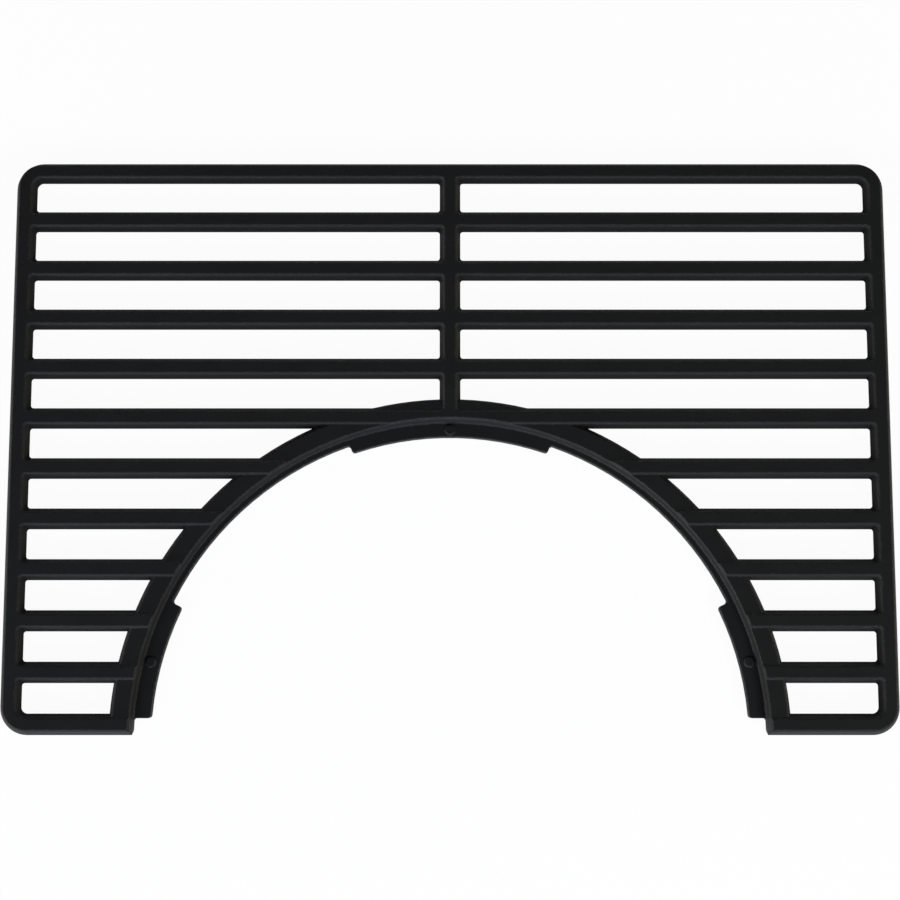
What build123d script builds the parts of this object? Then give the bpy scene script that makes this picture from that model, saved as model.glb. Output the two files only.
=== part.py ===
from build123d import *
import math
import os

# A grill grate cast in one piece: a frame of rails, bars along its length, and a half ring
# in the front rail that seats half of a round insert. Two such grates make the full ring.
# +X runs along the long side, +Y toward the straight back rail and +Z up.
# The origin is the middle of the underside. Sizes are in millimetres and angles in degrees.

# Frame and bars
width = 445.0
bar_count = 12
bar_pitch = 25.4
bar_width = 10.5
thickness = 12.0
side_draft = 18.65
edge_break = 0.65
frame_corner_radius = 13.7
window_corner_radius = 1.5

# Half ring with the stepped seat for the insert
seat_diameter = 314.1
seat_drop = 6.0
seat_width = 3.25
seat_edge_break = 0.2
seat_end_setback = 8.2
wall_lean = 0.9
wall_edge_break = 0.5
wall_foot_break = 0.6
ring_width = 10.75
ring_drop = 0.8
ring_gap = 1.2

# Tabs that widen the seat, and the raised pads on them
side_tab_width = 8.65
side_tab_end_angle = 25.5
back_tab_width = 7.45
back_tab_half_angle = 19.2
tab_corner_radius = 1.6
pad_setback = 3.95
side_pad_angle = 14.0
pad_diameter = 5.4
pad_top_diameter = 4.7
pad_height = 0.7

# Places worked out from the sizes above
depth = (bar_count - 1) * bar_pitch + bar_width
half_thickness = thickness / 2
draft_slope = math.tan(math.radians(side_draft))
edge_break_height = edge_break * math.cos(math.radians(side_draft))
edge_break_width = edge_break * (1 + math.sin(math.radians(side_draft)))
wall_foot_radius = seat_diameter / 2
wall_top_radius = wall_foot_radius + wall_lean
ring_outer_radius = wall_top_radius + ring_width
ring_centre = Vector(0, -depth / 2 - ring_gap, 0)
ring_top_z = thickness - ring_drop
seat_z = thickness - seat_drop
seat_end_y = -depth / 2 + seat_end_setback
overcut = 5.0
parting_plane = Plane.XY.offset(half_thickness)
ring_axis = Axis(ring_centre, (0, 0, 1))
ring_section_plane = Plane(origin=ring_centre, x_dir=(1, 0, 0), z_dir=(0, -1, 0))


def both_halves(upper):
    """Returns the upper half of a form joined to its mirror image below the parting plane."""
    return upper + mirror(upper, parting_plane)


def block():
    """Returns the outside form, drafted toward both faces, with its edges broken."""
    outline = parting_plane * RectangleRounded(width, depth, frame_corner_radius)
    form = both_halves(extrude(outline, half_thickness, taper=side_draft))
    faces = form.faces().sort_by(Axis.Z)
    return chamfer(faces[0].edges() + faces[-1].edges(), edge_break)


def window(side, row):
    """Returns the clear space beside the cross bar between two bars, drafted toward both faces.

    Its corner at a corner of the frame follows the frame's, and the others have one small radius.
    """
    length = width / 2 - 1.5 * bar_width
    clear = bar_pitch - bar_width
    upper = Pos(0, 0, half_thickness) * Box(
        length, clear, half_thickness, align=(Align.CENTER, Align.CENTER, Align.MIN)
    )
    frame_corner = (side * width, depth if row == 0 else -depth, 0)
    at_frame_corner = row in (0, bar_count - 2)
    if at_frame_corner:
        upright_edges = upper.edges().filter_by(Axis.Z).sort_by_distance(frame_corner)
        upper = fillet(upright_edges[0], max(frame_corner_radius - bar_width, window_corner_radius))
    upper = draft(upper.faces().filter_by(Axis.Z, reverse=True), parting_plane, -side_draft)
    slanted_edges = upper.edges().filter_by(Plane.XY, reverse=True).sort_by_distance(frame_corner)
    upper = fillet(slanted_edges[-3:] if at_frame_corner else slanted_edges, window_corner_radius)
    middle_x = side * (bar_width + length) / 2
    middle_y = depth / 2 - bar_width / 2 - (row + 0.5) * bar_pitch
    return Pos(middle_x, middle_y) * both_halves(upper)


def window_rims(plate):
    """Returns the windows' edges in the top face and in the underside."""
    faces = plate.faces().sort_by(Axis.Z)
    return [edge for face in (faces[0], faces[-1]) for wire in face.inner_wires() for edge in wire.edges()]


def ring_disc(radius):
    """Returns a plan disc about the ring's axis."""
    return Pos(ring_centre) * Circle(radius)


def ring_point(radius, angle):
    """Returns a plan point at a radius and an angle about the ring's axis."""
    return ring_centre + Vector(radius, 0, 0).rotate(Axis.Z, angle)


def ring_body():
    """Returns the ring as a full turned band, before its seat is cut."""
    inner_radius = wall_foot_radius - max(side_tab_width, back_tab_width) - overcut
    lower_radius = ring_outer_radius - (half_thickness - edge_break_height) * draft_slope
    upper_radius = ring_outer_radius - (ring_top_z - half_thickness - edge_break_height) * draft_slope
    section = Polygon(
        (inner_radius, 0),
        (lower_radius - edge_break_width, 0),
        (lower_radius, edge_break_height),
        (ring_outer_radius, half_thickness),
        (upper_radius, ring_top_z - edge_break_height),
        (upper_radius - edge_break_width, ring_top_z),
        (inner_radius, ring_top_z),
        align=None,
    )
    return revolve(ring_section_plane * section, ring_axis)


def seat_space():
    """Returns the turned space above the seat, with the breaks at the wall's foot and top."""
    bar_end_radius = wall_top_radius + wall_edge_break
    section = Polygon(
        (0, seat_z),
        (wall_foot_radius - wall_foot_break, seat_z),
        (wall_foot_radius, seat_z + wall_foot_break),
        (wall_top_radius, ring_top_z - wall_edge_break),
        (bar_end_radius, ring_top_z),
        (bar_end_radius, thickness - wall_edge_break),
        (bar_end_radius + wall_edge_break + overcut, thickness + overcut),
        (0, thickness + overcut),
        align=None,
    )
    return revolve(ring_section_plane * section, ring_axis)


def tab_plan(tab_width, start_angle, end_angle):
    """Returns a tab's sector, from its inner edge out past the ring."""
    reach = 2 * ring_outer_radius
    sector = Polygon(
        ring_centre, ring_point(reach, start_angle), ring_point(reach, end_angle), align=None
    )
    return sector - ring_disc(wall_foot_radius - tab_width)


def opening_space():
    """Returns the space inside the seat, around the three tabs and past the seat's two ends."""
    below_front = 2 * side_tab_end_angle
    opening = ring_disc(wall_foot_radius - seat_width)
    opening -= tab_plan(side_tab_width, -below_front, side_tab_end_angle)
    opening -= tab_plan(side_tab_width, 180 - side_tab_end_angle, 180 + below_front)
    opening -= tab_plan(back_tab_width, 90 - back_tab_half_angle, 90 + back_tab_half_angle)
    past_ends = Pos(0, seat_end_y) * Rectangle(
        3 * ring_outer_radius, ring_outer_radius, align=(Align.CENTER, Align.MAX)
    )
    opening += past_ends & ring_disc(wall_foot_radius)
    corners = [v for v in opening.vertices() if v.Y > seat_end_y - overcut]
    opening = fillet(corners, tab_corner_radius)
    return Pos(0, 0, -overcut) * extrude(opening, thickness + 2 * overcut)


def seat_rim(grate):
    """Returns the edges round the opening at the height of the seat."""
    level_edges = grate.edges().filter_by_position(Axis.Z, seat_z, seat_z)
    seat_centre = ring_centre + Vector(0, 0, seat_z)
    reach = wall_foot_radius - wall_foot_break
    return [edge for edge in level_edges if (edge.center() - seat_centre).length < reach]


def pad(angle):
    """Returns one raised pad, drafted like the rest of the casting."""
    button = Cone(
        pad_diameter / 2, pad_top_diameter / 2, pad_height, align=(Align.CENTER, Align.CENTER, Align.MIN)
    )
    return Pos(ring_point(wall_foot_radius - pad_setback, angle)) * Pos(0, 0, seat_z) * button


frame = block()
plate = frame - [window(side, row) for row in range(bar_count - 1) for side in (-1, 1)]
grill_grate = chamfer(window_rims(plate), edge_break)
grill_grate += ring_body() & frame
grill_grate -= seat_space()
grill_grate -= opening_space()
grill_grate = chamfer(seat_rim(grill_grate), seat_edge_break)
for angle in (side_pad_angle, 90, 180 - side_pad_angle):
    grill_grate += pad(angle)

os.makedirs("parts", exist_ok=True)
export_step(grill_grate, "parts/grill_grate.step")
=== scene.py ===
import math

import bpy
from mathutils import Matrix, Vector

# A cast-iron grill grate on a white floor, seen from above and a little in front.
# Lengths are metres, in the grate's own frame: +X along the bars, +Y to the back rail, +Z up.

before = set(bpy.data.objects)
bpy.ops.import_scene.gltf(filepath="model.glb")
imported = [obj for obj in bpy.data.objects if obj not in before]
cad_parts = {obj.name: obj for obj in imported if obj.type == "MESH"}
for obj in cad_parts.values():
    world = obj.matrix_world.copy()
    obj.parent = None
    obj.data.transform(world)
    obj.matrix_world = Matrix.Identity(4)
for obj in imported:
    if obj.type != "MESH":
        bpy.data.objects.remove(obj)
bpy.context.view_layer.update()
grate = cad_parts["grill_grate"]

# Camera, with its sensor in millimetres and its axis and focal length in pixels of the picture
image_side = 900.0
axis_row = 400.0
focal_pixels = 1870.19
sensor_width = 36.0
camera_tilt = math.radians(8.0915)
camera_place = Vector((0.0, -0.111109, 0.943422))
nearest_view = 0.01

# Finish of the iron
enamel_dark = (0.0082, 0.0082, 0.0084, 1.0)
enamel_light = (0.0118, 0.0118, 0.0121, 1.0)
enamel_sheen = 0.0625
enamel_roughness = (0.42, 0.58)
mottle_size = 0.016
mottle_detail = 4.0
grain_size = 0.00055
grain_detail = 2.0
grain_depth = 0.00012
grain_strength = 0.35

# Painted highlights along the edges of the iron: lighter flecks in the colour that stand in for glints
# of light
glint_fleck_dark = (0.0095, 0.0095, 0.0098, 1.0)
glint_fleck_light = (0.029, 0.029, 0.030, 1.0)
edge_softness = 0.0008
edge_samples = 8
edge_likeness = (1.0, 0.965)
glint_fleck_size = 0.0009
glint_fleck_detail = 0.0
glint_fleck_limits = (0.52, 0.68)

# Surroundings, with heights in degrees above the floor
floor_side = 20.0
floor_colour = (0.80, 0.80, 0.80, 1.0)
floor_white = 0.96
world_white = 1.0
plain_white = (1.0, 1.0, 1.0, 1.0)
white_to_gloss = 0.17
lamp_distance = 2.0
strip_size = (1.4, 0.26)
strip_height = 4.5
softbox_size = (1.2, 0.6)
softbox_height = 32.0


def add_node(tree, kind, **settings):
    """Returns a new node of a kind, with some of its settings."""
    node = tree.nodes.new(kind)
    for name, value in settings.items():
        setattr(node, name, value)
    return node


def add_noise(tree, place, size, detail):
    """Returns a cloudy pattern of a size, laid out by the place on the piece."""
    noise = add_node(tree, "ShaderNodeTexNoise")
    noise.inputs["Scale"].default_value = 1.0 / size
    noise.inputs["Detail"].default_value = detail
    tree.links.new(place, noise.inputs["Vector"])
    return noise.outputs["Fac"]


def map_range(tree, value, source=(0.0, 1.0), target=(0.0, 1.0)):
    """Returns a value carried from one range to another and held inside it."""
    carrier = add_node(tree, "ShaderNodeMapRange")
    carrier.inputs["From Min"].default_value, carrier.inputs["From Max"].default_value = source
    carrier.inputs["To Min"].default_value, carrier.inputs["To Max"].default_value = target
    tree.links.new(value, carrier.inputs["Value"])
    return carrier.outputs["Result"]


def mix_colours(tree, share, first, second):
    """Returns two colours, fixed or from nodes, mixed by the share of the second."""
    mix = add_node(tree, "ShaderNodeMix", data_type="RGBA")
    tree.links.new(share, mix.inputs["Factor"])
    for end, colour in (("A", first), ("B", second)):
        if isinstance(colour, bpy.types.NodeSocket):
            tree.links.new(colour, mix.inputs[end])
        else:
            mix.inputs[end].default_value = colour
    return mix.outputs["Result"]


def new_material(name):
    """Returns an empty node material and its tree."""
    material = bpy.data.materials.new(name)
    material.use_nodes = True
    material.node_tree.nodes.clear()
    return material, material.node_tree


def cast_iron_enamel():
    """Returns matt black enamel over the grain of a sand casting, with painted highlight flecks along
    the edges.
    """
    material, tree = new_material("cast_iron_enamel")
    output = add_node(tree, "ShaderNodeOutputMaterial")
    shader = add_node(tree, "ShaderNodeBsdfPrincipled")
    shader.inputs["Specular IOR Level"].default_value = enamel_sheen
    tree.links.new(shader.outputs["BSDF"], output.inputs["Surface"])
    place = add_node(tree, "ShaderNodeTexCoord").outputs["Object"]

    grain = add_noise(tree, place, grain_size, grain_detail)
    tree.links.new(map_range(tree, grain, target=enamel_roughness), shader.inputs["Roughness"])
    soft = add_node(tree, "ShaderNodeBevel", samples=edge_samples)
    soft.inputs["Radius"].default_value = edge_softness
    bump = add_node(tree, "ShaderNodeBump")
    bump.inputs["Strength"].default_value = grain_strength
    bump.inputs["Distance"].default_value = grain_depth
    tree.links.new(grain, bump.inputs["Height"])
    tree.links.new(soft.outputs["Normal"], bump.inputs["Normal"])
    tree.links.new(bump.outputs["Normal"], shader.inputs["Normal"])

    # An edge is where the softened normal turns away from the face's own.
    surface = add_node(tree, "ShaderNodeNewGeometry")
    likeness = add_node(tree, "ShaderNodeVectorMath", operation="DOT_PRODUCT")
    tree.links.new(soft.outputs["Normal"], likeness.inputs[0])
    tree.links.new(surface.outputs["Normal"], likeness.inputs[1])
    painted_glint_share = map_range(tree, likeness.outputs["Value"], source=edge_likeness)

    mottle = add_noise(tree, place, mottle_size, mottle_detail)
    coat = mix_colours(tree, mottle, enamel_dark, enamel_light)
    # Painted highlight: lighter flecks mixed into the colour along the edges stand in for glints of
    # light there.
    glint_spots = add_noise(tree, place, glint_fleck_size, glint_fleck_detail)
    painted_glints = mix_colours(tree, map_range(tree, glint_spots, source=glint_fleck_limits), glint_fleck_dark, glint_fleck_light)
    tree.links.new(mix_colours(tree, painted_glint_share, coat, painted_glints), shader.inputs["Base Color"])
    return material


def white_share(tree, to_camera):
    """Returns how much plain white each kind of ray meets: most to the camera, less in the sheen."""
    path = add_node(tree, "ShaderNodeLightPath")
    straight = add_node(tree, "ShaderNodeMath", operation="MAXIMUM")
    tree.links.new(path.outputs["Is Camera Ray"], straight.inputs[0])
    tree.links.new(path.outputs["Is Transmission Ray"], straight.inputs[1])
    seen = add_node(tree, "ShaderNodeMath", operation="MULTIPLY")
    seen.inputs[1].default_value = to_camera
    tree.links.new(straight.outputs[0], seen.inputs[0])
    mirrored = add_node(tree, "ShaderNodeMath", operation="MULTIPLY")
    mirrored.inputs[1].default_value = white_to_gloss
    tree.links.new(path.outputs["Is Glossy Ray"], mirrored.inputs[0])
    share = add_node(tree, "ShaderNodeMath", operation="MAXIMUM")
    tree.links.new(seen.outputs[0], share.inputs[0])
    tree.links.new(mirrored.outputs[0], share.inputs[1])
    return share.outputs[0]


def white_floor_finish():
    """Returns the pale floor's finish, which looks white and keeps a trace of the grate's shadow."""
    material, tree = new_material("white_floor_finish")
    output = add_node(tree, "ShaderNodeOutputMaterial")
    dull = add_node(tree, "ShaderNodeBsdfDiffuse")
    dull.inputs["Color"].default_value = floor_colour
    white = add_node(tree, "ShaderNodeEmission")
    mix = add_node(tree, "ShaderNodeMixShader")
    tree.links.new(white_share(tree, floor_white), mix.inputs["Fac"])
    tree.links.new(dull.outputs["BSDF"], mix.inputs[1])
    tree.links.new(white.outputs["Emission"], mix.inputs[2])
    tree.links.new(mix.outputs["Shader"], output.inputs["Surface"])
    return material


def lay_floor():
    """Adds the floor that the grate lies on."""
    bpy.ops.object.select_all(action="DESELECT")
    bpy.ops.mesh.primitive_plane_add(size=floor_side, location=(0.0, 0.0, 0.0))
    floor = bpy.context.object
    floor.name = "floor"
    floor.data.materials.append(white_floor_finish())


def light_surround():
    """Sets the world: white to look at, dim in the sheen, and otherwise dark beside the lamps."""
    world = bpy.data.worlds.new("studio")
    bpy.context.scene.world = world
    world.use_nodes = True
    tree = world.node_tree
    tree.nodes.clear()
    output = add_node(tree, "ShaderNodeOutputWorld")
    white = add_node(tree, "ShaderNodeBackground")
    white.inputs["Color"].default_value = plain_white
    tree.links.new(white_share(tree, world_white), white.inputs["Strength"])
    tree.links.new(white.outputs["Background"], output.inputs["Surface"])


def set_lamp(name, turn, height, size, power, colour):
    """Adds a rectangular lamp that faces the grate.

    Turn is in degrees from the front toward the right, and height in degrees above the floor.
    Power is in watts.
    """
    lamp = bpy.data.lights.new(name, "AREA")
    lamp.shape = "RECTANGLE"
    lamp.size, lamp.size_y = size
    lamp.energy = power
    lamp.color = colour
    around = math.radians(turn)
    up = math.radians(height)
    away = Vector((math.sin(around) * math.cos(up), -math.cos(around) * math.cos(up), math.sin(up)))
    stand = bpy.data.objects.new(name, lamp)
    stand.location = lamp_distance * away
    stand.rotation_euler = away.to_track_quat("Z", "Y").to_euler()
    bpy.context.scene.collection.objects.link(stand)


def light_grate():
    """Lights the grate with low strips on all sides and two softboxes in front."""
    set_lamp("front_strip", 0, strip_height, strip_size, 24.0, (0.64, 0.72, 1.0))
    set_lamp("right_strip", 90, strip_height, strip_size, 24.0, (1.0, 0.90, 0.73))
    set_lamp("back_strip", 180, strip_height, strip_size, 18.0, (0.95, 0.99, 1.0))
    set_lamp("left_strip", 270, strip_height, strip_size, 33.0, (1.0, 0.97, 0.85))
    set_lamp("front_left_strip", 315, strip_height, strip_size, 39.0, (0.96, 1.0, 0.83))
    set_lamp("front_right_softbox", 45, softbox_height, softbox_size, 36.0, (0.96, 1.0, 0.93))
    set_lamp("front_left_softbox", 315, softbox_height, softbox_size, 27.0, (0.71, 0.74, 1.0))


def set_camera():
    """Adds the camera at the photograph's place, tilt and framing."""
    lens = bpy.data.cameras.new("camera")
    lens.sensor_fit = "HORIZONTAL"
    lens.sensor_width = sensor_width
    lens.lens = sensor_width * focal_pixels / image_side
    lens.shift_y = (axis_row - image_side / 2) / image_side
    lens.clip_start = nearest_view
    camera = bpy.data.objects.new("camera", lens)
    camera.location = camera_place
    camera.rotation_euler = (camera_tilt, 0.0, 0.0)
    bpy.context.scene.collection.objects.link(camera)
    bpy.context.scene.camera = camera


bpy.context.scene.view_settings.view_transform = "Standard"
grate.data.materials.clear()
grate.data.materials.append(cast_iron_enamel())
lay_floor()
light_surround()
light_grate()
set_camera()
